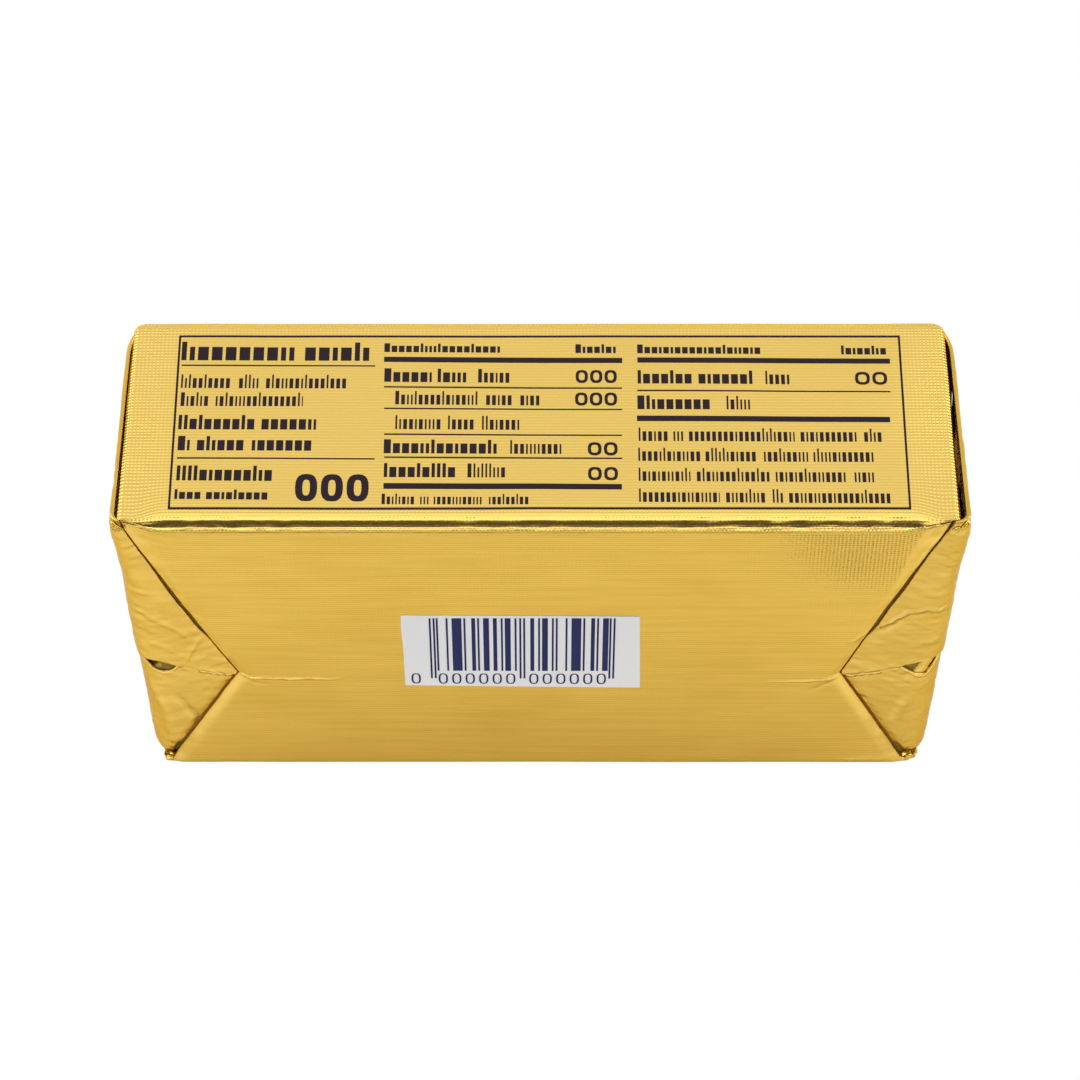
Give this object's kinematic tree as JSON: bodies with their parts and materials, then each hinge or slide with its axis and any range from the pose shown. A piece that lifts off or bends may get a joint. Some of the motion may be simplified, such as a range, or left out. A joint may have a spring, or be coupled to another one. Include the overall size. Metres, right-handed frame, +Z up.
{
  "type": "wrapped butter block",
  "caption": "Small block of butter in embossed gold foil, standing on its narrow long side, with envelope folds at both ends.",
  "frame": {"origin": "middle of the narrow long side that the block stands on, at its underside", "axes": "+X along the length, -Y out of the big face with the folded flaps, +Z up"},
  "size_m": [0.116, 0.0348, 0.0623],
  "materials": {
    "gold_foil": "satin gold foil with a fine linen emboss"
  },
  "bodies": {
    "root": {"wrapped_block": "gold_foil"}
  },
  "joints": []
}
